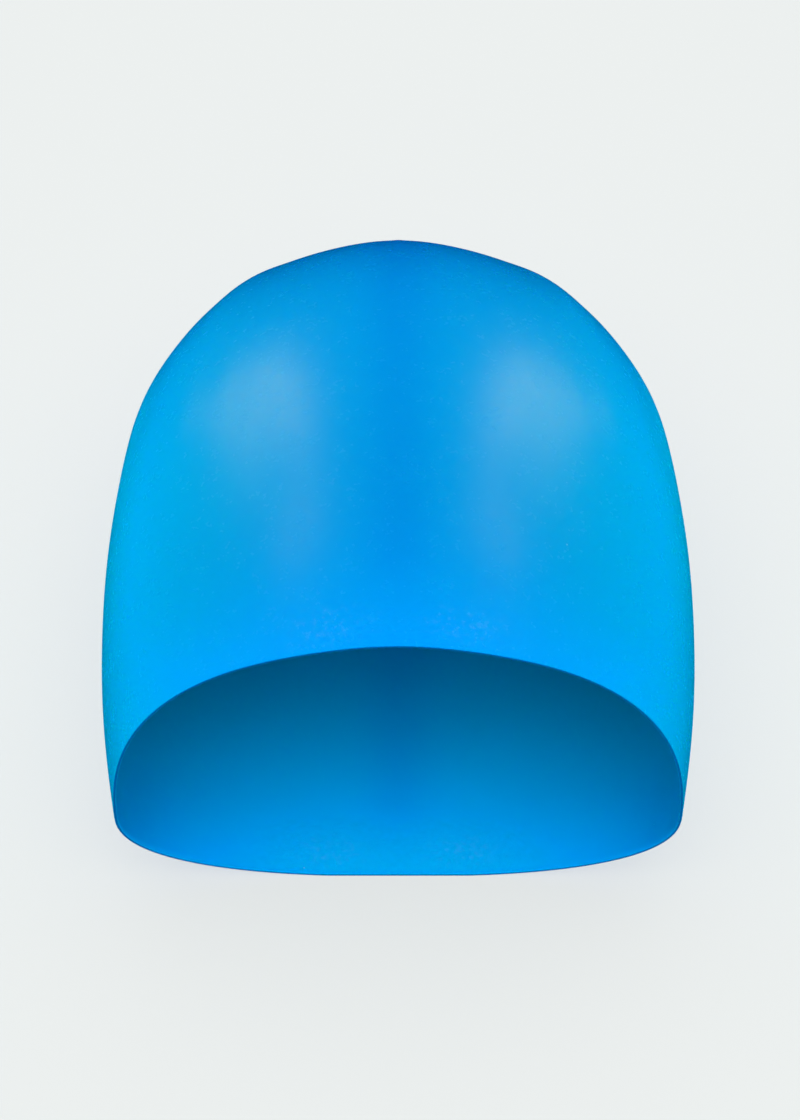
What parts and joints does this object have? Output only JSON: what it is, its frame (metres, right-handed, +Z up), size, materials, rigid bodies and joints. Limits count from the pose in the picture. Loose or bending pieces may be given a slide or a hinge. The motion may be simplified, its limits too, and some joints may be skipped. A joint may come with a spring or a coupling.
{
  "type": "swim cap",
  "caption": "Plain one-piece silicone swim cap, a thin dome with an open arched mouth, lying on its back wall.",
  "frame": {"origin": "middle of the base of the cap's box: on the surface that the cap lies on, midway between the mouth and the crown", "axes": "+Z up from the surface that the cap lies on, +Y along the cap's axis from the mouth to the crown, +X across the cap; the mouth faces -Y"},
  "size_m": [0.1676, 0.176, 0.1217],
  "materials": {
    "silicone": "bright blue moulded silicone, satin, with a fine matte grain"
  },
  "bodies": {
    "root": {"cap_shell": "silicone"}
  },
  "joints": []
}
